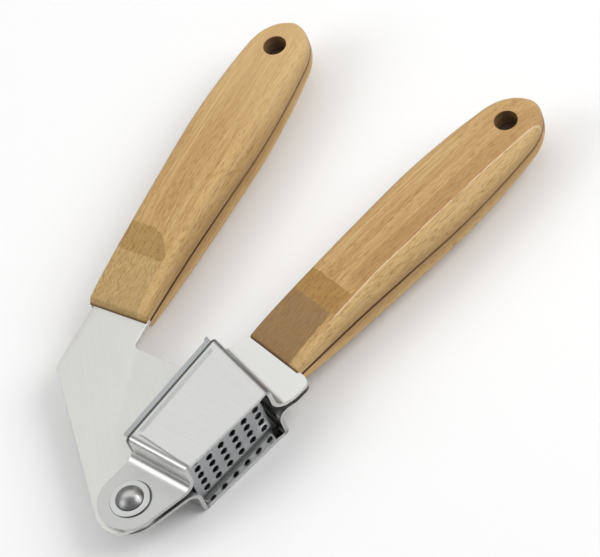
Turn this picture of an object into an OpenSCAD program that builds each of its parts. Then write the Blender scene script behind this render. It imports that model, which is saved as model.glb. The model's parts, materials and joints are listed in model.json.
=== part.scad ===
// Garlic press: a flat press lever that swings through a hopper folded from two shells.
// Origin: on the back shell's rim, at the middle of the hopper's mouth.
// X runs along the basket lever to its grip, Y towards the hopper mouth, Z across the sheets.

/* [Sheet metal] */
// Thickness of the flat plate of the press lever
plate_t = 1.5; // [1.2:0.1:2]
// Thickness of the two hopper shells
shell_t = 1.2; // [0.9:0.1:1.5]
// Thickness of the perforated liner
liner_t = 0.9; // [0.7:0.05:1.2]
// Thickness of the presser pan
pan_t = 1; // [0.8:0.1:1.2]
// Free play between the plate and each shell
plate_play = 0.05; // [0.02:0.01:0.1]

/* [Hopper] */
// Outside depth of the hopper, front wall to back wall
hopper_depth = 23.2; // [19.2:0.2:28]
// Distance between the outside faces of the near and far walls
hopper_len = 37; // [30:0.5:45]
// Distance from the pivot to the near wall
near_x = 12; // [11.5:0.5:16]
// Lean of the near wall
near_tilt = 8.5; // [4:0.5:10]
// Lean of the far wall
far_tilt = 6.2; // [3:0.2:8]
// Height of the mouth edge over the pivot, at the near wall
mouth_y = 9.6; // [9:0.2:12]
// Slope of the mouth edge
mouth_tilt = 5.5; // [3:0.5:7]
// Depth of the sieve's outer face below the pivot
sieve_drop = 10; // [9:0.5:12]
// Slope of the sieve
sieve_tilt = 1.45; // [0:0.05:3]
// How far the shells reach past the sieve
lip = 2.2; // [1.5:0.1:3]
// Radius of the fold at the foot of a hopper wall
foot_r = 3.2; // [2:0.1:3.5]
// Radius of the fold at the top of a hopper wall
shoulder_r = 1.9; // [1.8:0.1:2.4]
// Depth of the pressed panel in each shell
panel_dip = 0.5; // [0.3:0.05:0.7]
// Width of the raised rim round the pressed panel
rim_w = 2; // [1.5:0.1:3]
// Height of the liner wall over the mouth edge
liner_proud = 2.6; // [1.5:0.1:3]

/* [Sieve] */
// Diameter of a sieve hole
hole_d = 2.4; // [1.8:0.1:2.9]
// Holes along the sieve
hole_cols = 6; // [4:1:6]
// Holes across the sieve
hole_rows = 5; // [3:1:5]
// Distance from an end of the sieve to the first holes' centres
hole_end = 5.8; // [5:0.1:7]
// Metal left between the outer rows of holes and the liner's folds
hole_side = 0.14; // [0.1:0.02:0.6]

/* [Presser] */
// Gap between the pan's walls and the liner's
pan_side_gap = 0.5; // [0.3:0.1:1.5]
// Height of the pan's side walls
pan_wall = 8; // [5:0.5:9]
// Gap left under the closed pan
press_gap = 0.4; // [0.3:0.1:1]
// Angle between the levers as drawn, past closed
rest_open = 17; // [10:1:25]

/* [Pivot] */
// Diameter of the rivet shank
pin_d = 6; // [4.8:0.2:7.2]
// Running clearance of the plate on the rivet
pin_play = 0.05; // [0.02:0.01:0.1]
// Diameter of the rivet's domed heads
dome_d = 8.2; // [7.6:0.1:9.8]
// Height of the rivet's domed heads
dome_h = 1.9; // [1.4:0.1:2.4]
// Outside diameter of the rings under the heads
ring_d = 12; // [10:0.2:14.4]
// Thickness of the rings under the heads
ring_t = 0.5; // [0.4:0.1:0.8]
// Radius of the shells round the pivot
ear_r = 9.8; // [9.4:0.1:11]
// Radius of the plate round the pivot
plate_r = 11; // [10.4:0.1:12]

/* [Grips] */
// Length of a grip
grip_len = 111; // [92:1:134]
// Half width of a grip at its start
grip_w0 = 10.2; // [9:0.1:11]
// Half width of a grip at its widest
grip_w1 = 12; // [11:0.1:13]
// Half thickness of a grip at its thickest
grip_h1 = 7.4; // [6.5:0.1:8.5]
// Slant of the grips to the levers
grip_tilt = -0.7; // [-1:0.1:0]
// Distance between the two grips when closed, centre to centre
grip_spread = 35.5; // [33:0.5:40]
// How far the press lever's grip sits nearer to the pivot
grip_stagger = 4.1; // [0:0.1:6]
// Length of bare tang between the hopper and its grip
tang_bare = 9.7; // [8:0.1:14]
// Diameter of the hanging holes
hang_d = 7; // [5.8:0.1:8.4]
// Distance from a hanging hole to the grip's tip
hang_inset = 12.2; // [10:0.1:15]
// Depth of the groove where two scales meet
seam = 0.4; // [0.2:0.05:0.6]
// Length of the tongues inside the grips
tongue_len = 66; // [50:1:70]
// Half width of the tongues inside the grips
tongue_half = 6; // [4:0.2:7.2]
// Glue gap at a tongue's edges
tongue_gap = 0.1; // [0.05:0.05:0.3]
// How far the metal's shoulders reach under a grip's end
shoulder_lap = 1; // [0.6:0.1:2]
// Gap left in front of the shoulders there
shoulder_gap = 0.2; // [0.15:0.05:0.5]

/* [Hidden] */
$fn = 64;

ARC_STEPS = 6;                                   // chords in a rounded corner
BIG = 400;                                       // longer than anything here
half = hopper_depth / 2;                         // outer face of the front wall
gap = plate_t / 2 + plate_play;                  // inner face of a shell's ear and tang
ear_z = gap + shell_t;                           // outer face of a shell's ear and tang
far_x = near_x + hopper_len;                     // outer face of the far wall
liner_half = half - shell_t - panel_dip;         // outer face of the liner's walls
liner_bend = 1.8;                                // outer radius of the liner's folds
wall_gap = 0.35;                                 // liner's ends to the shells' walls
liner_tall = 40;                                 // liner's walls before they are cut to the mouth
grip_x = far_x + tang_bare;                      // start of the basket lever's grip
grip_y = 0.7;                                    // its centre line there
press_grip_x = grip_x - grip_stagger;            // start of the press lever's grip, closed
press_grip_y = grip_y + grip_spread;             // its centre line there
mid_x = near_x + hopper_len / 2;                 // middle of the hopper

STEEL = [0.78, 0.78, 0.77];
DARK_STEEL = [0.66, 0.67, 0.68];
BAMBOO = [0.76, 0.58, 0.34];

// ---- plan outlines: lists of [x, y, corner radius] ----

function unit(v) = v / norm(v);
function turn(a) = a > 180 ? a - 360 : a < -180 ? a + 360 : a;
function xy(p) = [p[0], p[1]];
function arc(c, r, a0, a1, n = ARC_STEPS) =
    [for (i = [0:n]) c + r * [cos(a0 + (a1 - a0) * i / n), sin(a0 + (a1 - a0) * i / n)]];
function corner(a, p, b, r) =
    let (u = unit(a - p), v = unit(b - p), bend = acos(u * v) / 2,
         c = p + unit(u + v) * r / sin(bend),
         s = p + u * r / tan(bend) - c, e = p + v * r / tan(bend) - c,
         a0 = atan2(s[1], s[0]), sweep = turn(atan2(e[1], e[0]) - a0))
    arc(c, r, a0, a0 + sweep);
function outline(pts) =
    let (n = len(pts))
    [for (i = [0:n - 1])
        let (p = pts[i])
        each p[2] > 0 ? corner(xy(pts[(i + n - 1) % n]), xy(p), xy(pts[(i + 1) % n]), p[2]) : [xy(p)]];

// Height of the mouth edge and of the sieve's outer face at a distance x from the pivot
function mouth_at(x) = mouth_y + (x - near_x) * tan(mouth_tilt);
function sieve_at(x) = -sieve_drop + (x - near_x) * tan(sieve_tilt);
function lip_at(x) = -sieve_drop - lip - (x - near_x) * 0.016;
// Distance of the hopper's walls from the pivot at a height y
function near_at(y) = near_x - y * tan(near_tilt);
function far_at(y) = far_x + y * tan(far_tilt);

// The lower side of an ear touches the pivot's circle and runs to the lip
lip_near = [near_at(-sieve_drop - lip), lip_at(near_at(-sieve_drop - lip))];
ear_slope = atan2(lip_near[1], lip_near[0]) + asin(ear_r / norm(lip_near));
ear_corner = [-ear_r, -ear_r * (1 + sin(ear_slope)) / cos(ear_slope)];

module shell_plan() {
    shoulder_x = grip_x + shoulder_lap;
    tang_top = mouth_at(far_x) + 0.3;
    tang_low = lip_at(far_x) - 1.7;
    polygon(outline([
        [-ear_r, ear_r, ear_r * 0.97],
        [near_x - 1, mouth_y + 0.1, 0],
        [far_at(mouth_at(far_x)) + 0.4, mouth_at(far_x + 1.9), 0],
        [far_x + 3.6, tang_top, 0.8],
        [shoulder_x, grip_y + grip_w0 + 0.3, 0],
        [shoulder_x, grip_y + tongue_half, 0],
        [grip_x + tongue_len, grip_y + tongue_half + tongue_len * tan(grip_tilt), 3],
        [grip_x + tongue_len, grip_y - tongue_half + tongue_len * tan(grip_tilt), 3],
        [shoulder_x, grip_y - tongue_half, 0],
        [shoulder_x, tang_low, 2.6],
        [far_x + 4, tang_low, 3],
        [far_at(lip_at(far_x)) - 1.5, lip_at(far_x), 0],
        [lip_near[0], lip_near[1], 3],
        [ear_corner[0], ear_corner[1], ear_r * 0.97]]));
}

// Plan of the pressed panel, grown by g
module panel_plan(g) {
    y0 = lip_at(far_x) - 10;
    y1 = mouth_at(near_x) - rim_w;
    y2 = mouth_at(far_x) - rim_w;
    edge = shoulder_r + 0.2;
    polygon(outline([
        [near_at(y1) + edge - g, y1 + g, 1.5],
        [far_at(y2) - edge + g, y2 + g, 1.5],
        [far_at(y0) - edge + g, y0, 0],
        [near_at(y0) + edge - g, y0, 0]]));
}

// ---- sheet folded in an S: low sheet to the left, wall at u = 0, high sheet to the right ----

module step_sheet(low, high) {
    foot = [-foot_r, ear_z + foot_r];
    top = [shoulder_r, half - shoulder_r];
    rotate([90, 0, 0]) linear_extrude(BIG / 2, center = true)
        polygon(concat(
            [[-low, ear_z]], arc(foot, foot_r, -90, 0), arc(top, shoulder_r, 180, 90),
            [[high, half], [high, half - shell_t]],
            arc(top, shoulder_r - shell_t, 90, 180), arc(foot, foot_r + shell_t, 0, -90),
            [[-low, gap]]));
}

// One end of a shell, cut off at the middle of the hopper
module shell_end(side) {
    intersection() {
        children();
        linear_extrude(BIG) translate([mid_x + (side < 0 ? -BIG : 0), -BIG / 2]) square(BIG);
    }
}

module shell_body() {
    reach = hopper_len;
    difference() {
        intersection() {
            union() {
                shell_end(-1)
                    translate([near_x, 0, 0]) rotate([0, 0, near_tilt]) step_sheet(near_x + ear_r * 2, reach);
                shell_end(1)
                    translate([far_x, 0, 0]) rotate([0, 0, -far_tilt]) mirror([1, 0, 0])
                        step_sheet(grip_x + tongue_len, reach);
                translate([0, 0, liner_half])
                    linear_extrude(shell_t + panel_dip / 2) panel_plan(shell_t * 0.6);
            }
            linear_extrude(BIG) shell_plan();
        }
        translate([0, 0, half - panel_dip]) linear_extrude(1) panel_plan(0);
        translate([0, 0, -1]) cylinder(h = BIG, d = pin_d);
    }
}

// The pieces are drawn round the pivot, at mid depth, and moved here to the part's own origin
module basket() {
    translate([-mid_x, rim_w / 2 - mouth_at(mid_x), half]) children();
}

// The press lever is drawn closed and then opened to the angle at which the press lies
module press() {
    basket() rotate([0, 0, rest_open]) children();
}

module front_shell() {
    color(STEEL) basket() shell_body();
}

module back_shell() {
    color(STEEL) basket() mirror([0, 0, 1]) shell_body();
}

// ---- perforated liner: a channel whose floor is the sieve ----

// Frame on the sieve's outer face: x along it, y up into the hopper
module on_sieve() {
    translate([near_x, -sieve_drop, 0]) rotate([0, 0, sieve_tilt]) children();
}

// Upright channel section, open at the top, with outer half width w, height h and sheet t
module channel(w, h, t, r, len) {
    rotate([90, 0, 90]) linear_extrude(len)
        difference() {
            polygon(outline([[0, -w, r], [h, -w, 0], [h, w, 0], [0, w, r]]));
            polygon(outline([[t, t - w, r - t], [h + 1, t - w, 0], [h + 1, w - t, 0], [t, w - t, r - t]]));
        }
}

// The liner's ends follow the hopper's walls
module liner_plan() {
    y0 = -sieve_drop - 1;
    top = mouth_at(far_x) + liner_proud;
    near_end = shell_t / cos(near_tilt) + wall_gap;
    far_end = shell_t / cos(far_tilt) + wall_gap;
    polygon([
        [near_at(y0) + near_end, y0],
        [far_at(y0) - far_end - 1.6, y0],
        [far_at(mouth_y) - far_end, mouth_y],
        [far_at(top) - far_end + 0.5, top + 0.6],
        [far_at(top) - far_end - 0.7, top + 0.6],
        [far_at(top) - far_end - 0.9, top - 0.1],
        [near_x + near_end - 1, mouth_at(near_x) + liner_proud]]);
}

// Places of the sieve's holes: along the sieve and across it
sieve_x0 = 0.9;                                  // the sieve's near end
pitch_x = (hopper_len - 1.5 - 2 * hole_end) / (hole_cols - 1);
pitch_z = 2 * (liner_half - liner_bend - hole_side - hole_d / 2) / (hole_rows - 1);
function hole_x(i) = sieve_x0 + hole_end + pitch_x * i;
function hole_z(j) = (j - (hole_rows - 1) / 2) * pitch_z;

module sieve_liner() {
    color(DARK_STEEL) basket()
        difference() {
            intersection() {
                on_sieve() channel(liner_half, liner_tall, liner_t, liner_bend, hopper_len * 1.2);
                linear_extrude(BIG, center = true) liner_plan();
            }
            on_sieve()
                for (i = [0:hole_cols - 1], j = [0:hole_rows - 1])
                    translate([hole_x(i), liner_t + 0.5, hole_z(j)]) rotate([90, 0, 0])
                        cylinder(h = liner_t + 1, d = hole_d, $fn = 24);
        }
}

// ---- press lever ----

pan_half = liner_half - liner_t - pan_side_gap;  // half of the pan's outside width
pan_floor = liner_t + press_gap;                 // pan's outer face over the sieve's, closed
pan_x0 = 4.6;                                    // pan's near end along the sieve
pan_len = hopper_len - 10;                       // length of the pan
tab_len = 6;                                     // length of the tabs through the pan
tab_x = [pan_x0 + pan_len * 0.14, pan_x0 + pan_len * 0.86 - tab_len];

module presser_pan() {
    color(STEEL) press()
        on_sieve()
            difference() {
                translate([pan_x0, pan_floor, 0]) channel(pan_half, pan_wall, pan_t, pan_t * 1.8, pan_len);
                for (x = tab_x)
                    translate([x, pan_floor - 1, -plate_t / 2]) cube([tab_len, pan_t + 2, plate_t]);
            }
}

// The plate's straight left side touches its pivot circle and meets the neck's upper side
neck_top = press_grip_y + grip_w0 - 1.4;
neck_low = press_grip_y - grip_w0 - 0.1;
left_lean = 43.3;
left_x = (neck_top * cos(left_lean) - plate_r) / sin(left_lean);
pivot_low = -plate_r * 0.78;
seat_x0 = near_x + pan_x0 + 0.6;                 // the plate's edge that sits in the pan
seat_x1 = near_x + pan_x0 + pan_len - 0.2;
function seat_at(x) = sieve_at(x) + (pan_floor + pan_t) / cos(sieve_tilt);

module plate_plan() {
    shoulder_x = press_grip_x + shoulder_lap;
    end = press_grip_x + tongue_len;
    slant = tongue_len * tan(grip_tilt);
    polygon(outline([
        [-plate_r, plate_r * (1 - sin(left_lean)) / cos(left_lean), plate_r],
        [-plate_r, -plate_r * 0.12, 1.2],            // below here the heel runs just inside the ears
        [-plate_r * 0.73, -plate_r * 0.47, 5],
        [-plate_r * 0.41, pivot_low, 4],
        [near_x - 0.5, pivot_low, 2],
        [seat_x0, seat_at(seat_x0), 0],
        [seat_x1, seat_at(seat_x1), 0],
        [seat_x1 + 2.3, neck_low, 2.2],
        [shoulder_x, neck_low, 0],
        [shoulder_x, press_grip_y - tongue_half, 0],
        [end, press_grip_y - tongue_half + slant, 3],
        [end, press_grip_y + tongue_half + slant, 3],
        [shoulder_x, press_grip_y + tongue_half, 0],
        [shoulder_x, neck_top, 0],
        [left_x, neck_top, 5]]));
}

module press_plate() {
    color(STEEL) press()
        difference() {
            union() {
                linear_extrude(plate_t, center = true) plate_plan();
                on_sieve()
                    for (x = tab_x)
                        translate([x, pan_floor, -plate_t / 2]) cube([tab_len, pan_t + 1, plate_t]);
            }
            cylinder(h = plate_t + 1, d = pin_d + 2 * pin_play, center = true);
        }
}

// ---- pivot ----

module dome() {
    r = (dome_d * dome_d / 4 + dome_h * dome_h) / (2 * dome_h);
    intersection() {
        translate([0, 0, dome_h - r]) sphere(r = r, $fn = 96);
        cylinder(h = dome_h, d = dome_d);
    }
}

module pivot_rivet() {
    seat = ear_z + ring_t;
    color(STEEL) basket() {
        cylinder(h = 2 * seat, d = pin_d, center = true);
        for (side = [0, 1]) mirror([0, 0, side]) translate([0, 0, seat]) dome();
    }
}

module rivet_ring() {
    translate([0, 0, ear_z]) difference() {
        cylinder(h = ring_t, d = ring_d);
        translate([0, 0, -1]) cylinder(h = ring_t + 2, d = pin_d + 2 * pin_play);
    }
}

module front_rivet_ring() {
    color(DARK_STEEL) basket() rivet_ring();
}

module back_rivet_ring() {
    color(DARK_STEEL) basket() mirror([0, 0, 1]) rivet_ring();
}

// Fills the space between the two shells' tongues inside the basket lever's grip
module tang_spacer() {
    color(DARK_STEEL) basket()
        translate([grip_x + 2, grip_y, 0]) rotate([0, 0, grip_tilt])
            translate([0, -tongue_half + 1, -gap])
                cube([tongue_len - 8, 2 * tongue_half - 2, 2 * gap]);
}

// ---- grips: two bamboo scales each, lofted along their length ----

// Smooth curve through [place, value] points
function slope(k, i) =
    let (a = max(i - 1, 0), b = min(i + 1, len(k) - 1))
    (k[b][1] - k[a][1]) / (k[b][0] - k[a][0]);
function curve(k, s) =
    let (i = max([for (j = [0:len(k) - 2]) k[j][0] <= s ? j : 0]),
         d = k[i + 1][0] - k[i][0], t = min((s - k[i][0]) / d, 1), u = 1 - t)
    k[i][1] * (1 + 2 * t) * u * u + slope(k, i) * d * t * u * u
    + k[i + 1][1] * (3 - 2 * t) * t * t - slope(k, i + 1) * d * t * t * u;

// Half width, half thickness and edge radius along a grip, by share of its length
WIDTH = [[0, 0], [0.22, 0.08], [0.4, 0.5], [0.6, 1], [0.77, 0.64], [0.91, -0.2], [1, -0.85]];
THICK = [[0, 0.38], [0.1, 0.66], [0.21, 0.87], [0.36, 1], [0.54, 0.98], [0.72, 0.91], [0.89, 0.8], [1, 0.72]];
EDGE = [[0, 0.4], [0.2, 1.9], [0.42, 3.1], [1, 3.2]];
TIP = 0.885;                                     // where the rounding of the tip starts
function tip_round(f, e) = f <= TIP ? 1 : pow(max(1 - pow((f - TIP) / (1 - TIP), e), 0), 1 / e);
function grip_w(f) = (grip_w0 + (grip_w1 - grip_w0) * curve(WIDTH, f)) * tip_round(f, 2.1);
function grip_h(f) = grip_h1 * curve(THICK, f) * max(tip_round(f, 2), 0.3);
function grip_edge(f) = min(curve(EDGE, f), grip_h(f) * 0.6, grip_w(f) * 0.6);

START_SLANT = 0.75;                              // lean of the end face beside the metal
START_BACK = 1.12;                               // how far its foot lies before the grip's start
CROWN = 0.25;                                    // rise of the broad face over its edges
STATIONS = concat([for (i = [0:15]) i * TIP / 15], [for (a = [20:14:76]) TIP + (1 - TIP) * sin(a)], [0.998]);

// Half section: flat at the seam, grooved at its corners, rounded at the broad face
function section(f) =
    let (w = grip_w(f), h = grip_h(f), r = grip_edge(f), s = min(seam, h / 4, w / 4))
    concat([[s - w, 0], [w - s, 0], [w, s]], arc([w - r, h - r], r, 0, 90, 4), [[0, h + CROWN * r / 3]],
           arc([r - w, h - r], r, 90, 180, 4), [[-w, s]]);

module grip_scale() {
    n = len(section(0));
    m = len(STATIONS);
    points = [for (f = STATIONS) each
        [for (q = section(f)) [f > 0 ? f * grip_len : q[1] * START_SLANT - START_BACK, q[0], q[1]]]];
    sides = [for (i = [0:m - 2], j = [0:n - 1])
        let (a = i * n + j, b = i * n + (j + 1) % n)
        each [[a, b, b + n], [a, b + n, a + n]]];
    polyhedron(points, concat([[for (j = [n - 1:-1:0]) j]], sides, [[for (j = [0:n - 1]) (m - 1) * n + j]]));
}

// Front scale in its own frame: the pocket takes the tongue, and the rebate at its end the shoulders
module grip_front(tongue_z) {
    hang_x = grip_len - hang_inset;
    difference() {
        grip_scale();
        translate([-2, -tongue_half - tongue_gap, -1])
            cube([tongue_len + 2 + tongue_gap, 2 * (tongue_half + tongue_gap), tongue_z + 1]);
        translate([-2, -2 * grip_w0, -1])
            cube([2 + shoulder_lap + shoulder_gap, 4 * grip_w0, tongue_z + 1]);
        translate([hang_x, 0, -1]) cylinder(h = 2 * grip_h1, d = hang_d);
    }
}

module basket_grip_front() {
    color(BAMBOO) basket() translate([grip_x, grip_y, 0]) rotate([0, 0, grip_tilt]) grip_front(ear_z);
}

module basket_grip_back() {
    color(BAMBOO) basket() translate([grip_x, grip_y, 0]) rotate([0, 0, grip_tilt])
        mirror([0, 0, 1]) grip_front(ear_z);
}

module press_grip_front() {
    color(BAMBOO) press() translate([press_grip_x, press_grip_y, 0]) rotate([0, 0, grip_tilt])
        grip_front(plate_t / 2);
}

module press_grip_back() {
    color(BAMBOO) press() translate([press_grip_x, press_grip_y, 0]) rotate([0, 0, grip_tilt])
        mirror([0, 0, 1]) grip_front(plate_t / 2);
}

press_plate();
presser_pan();
front_shell();
back_shell();
sieve_liner();
pivot_rivet();
front_rivet_ring();
back_rivet_ring();
press_grip_front();
press_grip_back();
basket_grip_front();
basket_grip_back();
tang_spacer();
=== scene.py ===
"""Garlic press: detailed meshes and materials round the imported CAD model.

Sizes are in millimetres from the pivot, at mid depth, with X along the basket lever, Y towards
the hopper's mouth and Z across the sheets. make() turns them into metres in the CAD frame.
The press lever is drawn closed and then turned open by REST_OPEN, as it lies at rest.
"""

import json
import math

import bmesh
import bpy
from mathutils import Matrix, Vector


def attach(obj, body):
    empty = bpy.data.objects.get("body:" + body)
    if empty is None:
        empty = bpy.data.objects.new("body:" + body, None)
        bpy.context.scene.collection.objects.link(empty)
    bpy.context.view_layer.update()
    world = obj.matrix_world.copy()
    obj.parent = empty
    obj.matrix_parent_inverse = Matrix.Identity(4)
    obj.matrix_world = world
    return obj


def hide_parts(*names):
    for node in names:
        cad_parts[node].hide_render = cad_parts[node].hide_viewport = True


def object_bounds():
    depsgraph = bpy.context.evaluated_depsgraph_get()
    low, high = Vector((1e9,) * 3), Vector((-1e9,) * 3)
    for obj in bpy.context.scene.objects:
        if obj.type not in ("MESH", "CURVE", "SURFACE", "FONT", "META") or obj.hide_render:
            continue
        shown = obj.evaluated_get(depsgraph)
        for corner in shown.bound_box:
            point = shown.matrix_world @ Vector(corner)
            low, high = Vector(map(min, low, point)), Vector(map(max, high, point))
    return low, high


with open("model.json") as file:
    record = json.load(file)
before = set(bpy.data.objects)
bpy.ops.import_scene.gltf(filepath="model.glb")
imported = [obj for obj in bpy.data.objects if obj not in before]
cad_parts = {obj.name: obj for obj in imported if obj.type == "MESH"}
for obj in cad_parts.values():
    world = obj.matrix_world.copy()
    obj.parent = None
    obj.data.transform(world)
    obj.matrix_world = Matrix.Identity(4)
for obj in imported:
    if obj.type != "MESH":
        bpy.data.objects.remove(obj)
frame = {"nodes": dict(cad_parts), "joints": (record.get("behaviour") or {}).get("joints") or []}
CAD_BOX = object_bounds()
PIVOT = Vector(frame["joints"][0]["pos_m"])
MM = 0.001

# ---- driving sizes, the same as in the CAD model ----

PLATE_T, SHELL_T, LINER_T, PAN_T = 1.5, 1.2, 0.9, 1.0
PLATE_PLAY = 0.05
HOPPER_DEPTH, HOPPER_LEN, NEAR_X = 23.2, 37.0, 12.0
NEAR_TILT, FAR_TILT, MOUTH_TILT, SIEVE_TILT = (math.radians(a) for a in (8.5, 6.2, 5.5, 1.45))
MOUTH_Y, SIEVE_DROP, LIP = 9.6, 10.0, 2.2
FOOT_R, SHOULDER_R = 3.2, 1.9
PANEL_DIP, RIM_W = 0.5, 2.0
LINER_PROUD, LINER_BEND, WALL_GAP = 2.6, 1.8, 0.35
HOLE_D, HOLE_COLS, HOLE_ROWS, HOLE_END, HOLE_SIDE = 2.4, 6, 5, 5.8, 0.14
PAN_SIDE_GAP, PAN_WALL, PRESS_GAP, PAN_X0 = 0.5, 8.0, 0.4, 4.6
REST_OPEN = math.radians(17)
PIN_D, PIN_PLAY, DOME_D, DOME_H, RING_D, RING_T = 6.0, 0.05, 8.2, 1.9, 12.0, 0.5
EAR_R, PLATE_R = 9.8, 11.0
GRIP_LEN, GRIP_W0, GRIP_W1, GRIP_H1 = 111.0, 10.2, 12.0, 7.4
GRIP_TILT = math.radians(-0.7)
GRIP_SPREAD, GRIP_STAGGER, TANG_BARE = 35.5, 4.1, 9.7
HANG_D, HANG_INSET, SEAM = 7.0, 12.2, 0.4
TONGUE_LEN, TONGUE_HALF, TONGUE_GAP = 66.0, 6.0, 0.1
SHOULDER_LAP, SHOULDER_GAP = 1.0, 0.2
START_SLANT, START_BACK = 0.75, 1.12

# ---- how strong the painted shade on the ears and the painted light on the tangs are, and the two sides ----

EAR_PAINTED_SHADE, TANG_PAINTED_LIGHT = 0.17, 0.4
SIDES = (("front", 1), ("back", -1))

# ---- sizes worked out from the driving ones ----

HALF = HOPPER_DEPTH / 2
GAP = PLATE_T / 2 + PLATE_PLAY
EAR_Z = GAP + SHELL_T
FAR_X = NEAR_X + HOPPER_LEN
LINER_HALF = HALF - SHELL_T - PANEL_DIP
PAN_HALF = LINER_HALF - LINER_T - PAN_SIDE_GAP
PAN_X1 = PAN_X0 + HOPPER_LEN - 10
PUNCH_START, PUNCH_LEN = 0.9, HOPPER_LEN - 1.5
GRIP_X, GRIP_Y = FAR_X + TANG_BARE, 0.7
PRESS_GRIP_X, PRESS_GRIP_Y = GRIP_X - GRIP_STAGGER, GRIP_Y + GRIP_SPREAD
HANG_X = GRIP_LEN - HANG_INSET
SHOULDER_X = GRIP_X + SHOULDER_LAP
TONGUE_X = GRIP_X + TONGUE_LEN
TONGUE_DROP = TONGUE_LEN * math.tan(GRIP_TILT)


def mouth_at(x):
    return MOUTH_Y + (x - NEAR_X) * math.tan(MOUTH_TILT)


def sieve_at(x):
    return -SIEVE_DROP + (x - NEAR_X) * math.tan(SIEVE_TILT)


def lip_at(x):
    return -SIEVE_DROP - LIP - (x - NEAR_X) * 0.016


def near_at(y):
    return NEAR_X - y * math.tan(NEAR_TILT)


def far_at(y):
    return FAR_X + y * math.tan(FAR_TILT)


def turned(p, angle):
    """A point turned about the pivot's axis."""
    c, s = math.cos(angle), math.sin(angle)
    return Vector((c * p[0] - s * p[1], s * p[0] + c * p[1], p[2]))


def lerp(a, b, t):
    return a + (b - a) * t


def smooth(t):
    t = min(max(t, 0.0), 1.0)
    return t * t * (3 - 2 * t)


# ---- mesh helpers ----


def linked(name, data):
    """An object with this data, put into the scene."""
    item = bpy.data.objects.new(name, data)
    bpy.context.scene.collection.objects.link(item)
    return item


def make(name, verts, faces, material, node, body, opened=False, sharp=30):
    """A piece from points in millimetres, riding on a body and standing for a CAD node.

    opened turns it from closed to its place at rest."""
    points = [turned(v, REST_OPEN) if opened else Vector(v) for v in verts]
    mesh = bpy.data.meshes.new(name)
    mesh.from_pydata([PIVOT + p * MM for p in points], [], faces)
    mesh.validate()
    piece = linked(name, mesh)
    mesh.materials.append(material)
    tidy_mesh(piece, sharp)
    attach(piece, body)
    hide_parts(node)
    return piece


def tidy_mesh(piece, sharp):
    """Outward normals, smooth shading, and sharp edges where faces meet at more than sharp degrees."""
    bm = bmesh.new()
    bm.from_mesh(piece.data)
    bmesh.ops.remove_doubles(bm, verts=bm.verts, dist=0.002 * MM)
    bmesh.ops.recalc_face_normals(bm, faces=bm.faces)
    if bm.calc_volume(signed=True) < 0:
        bmesh.ops.reverse_faces(bm, faces=bm.faces)
    bm.to_mesh(piece.data)
    bm.free()
    piece.data.shade_smooth()
    piece.data.set_sharp_from_angle(angle=math.radians(sharp))


def modify(piece, kind, **settings):
    modifier = piece.modifiers.new(kind.lower(), kind)
    for key, value in settings.items():
        setattr(modifier, key, value)


def apply_modifiers(piece, sharp):
    """Writes the modifiers' result into the piece's mesh."""
    bpy.context.view_layer.update()
    evaluated = piece.evaluated_get(bpy.context.evaluated_depsgraph_get())
    mesh = bpy.data.meshes.new_from_object(evaluated)
    piece.modifiers.clear()
    piece.data = mesh
    tidy_mesh(piece, sharp)


def soften(piece, width, angle=40, sharp=30):
    """Rounds the edges sharper than angle degrees by width millimetres."""
    modify(piece, "BEVEL", width=width * MM, segments=2, limit_method="ANGLE",
           angle_limit=math.radians(angle), use_clamp_overlap=True)
    apply_modifiers(piece, sharp)


def scratch_object(name, verts, faces):
    """An object used only as a cutting tool, in metres in the CAD frame."""
    mesh = bpy.data.meshes.new(name)
    mesh.from_pydata(verts, [], faces)
    bm = bmesh.new()
    bm.from_mesh(mesh)
    bmesh.ops.recalc_face_normals(bm, faces=bm.faces)
    bm.to_mesh(mesh)
    bm.free()
    return linked(name, mesh)


def cut(piece, tool, sharp=30):
    """Takes the tool's solid out of the piece and removes the tool."""
    modify(piece, "BOOLEAN", operation="DIFFERENCE", object=tool, solver="MANIFOLD")
    apply_modifiers(piece, sharp)
    bpy.data.objects.remove(tool)


def lathe(profile, steps):
    """Points and faces of a profile [(radius, height)] turned round Z, closed at its ends."""
    verts, faces = [], []
    for r, z in profile:
        verts += [(r * math.cos(2 * math.pi * i / steps), r * math.sin(2 * math.pi * i / steps), z)
                  for i in range(steps)]
    rings = len(profile)
    for k in range(rings - 1):
        for i in range(steps):
            j = (i + 1) % steps
            faces.append((k * steps + i, k * steps + j, (k + 1) * steps + j, (k + 1) * steps + i))
    faces.append(tuple(reversed(range(steps))))
    faces.append(tuple(range((rings - 1) * steps, rings * steps)))
    return verts, faces


def arc(centre, radius, start, end, steps):
    """Points along an arc, with the angles in degrees."""
    angles = [math.radians(lerp(start, end, i / steps)) for i in range(steps + 1)]
    return [(centre[0] + radius * math.cos(a), centre[1] + radius * math.sin(a)) for a in angles]


def outline(corners, steps=8):
    """A closed outline from corners (x, y, radius)."""
    points = []
    for i, (x, y, r) in enumerate(corners):
        if r == 0:
            points.append((x, y))
            continue
        p = Vector((x, y))
        u = (Vector(corners[i - 1][:2]) - p).normalized()
        v = (Vector(corners[(i + 1) % len(corners)][:2]) - p).normalized()
        bend = math.acos(u.dot(v)) / 2
        centre = p + (u + v).normalized() * r / math.sin(bend)
        start = p + u * r / math.tan(bend) - centre
        sweep = start.angle_signed(p + v * r / math.tan(bend) - centre)
        for k in range(steps + 1):
            a = math.atan2(start.y, start.x) - sweep * k / steps
            points.append((centre.x + r * math.cos(a), centre.y + r * math.sin(a)))
    return points


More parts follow.
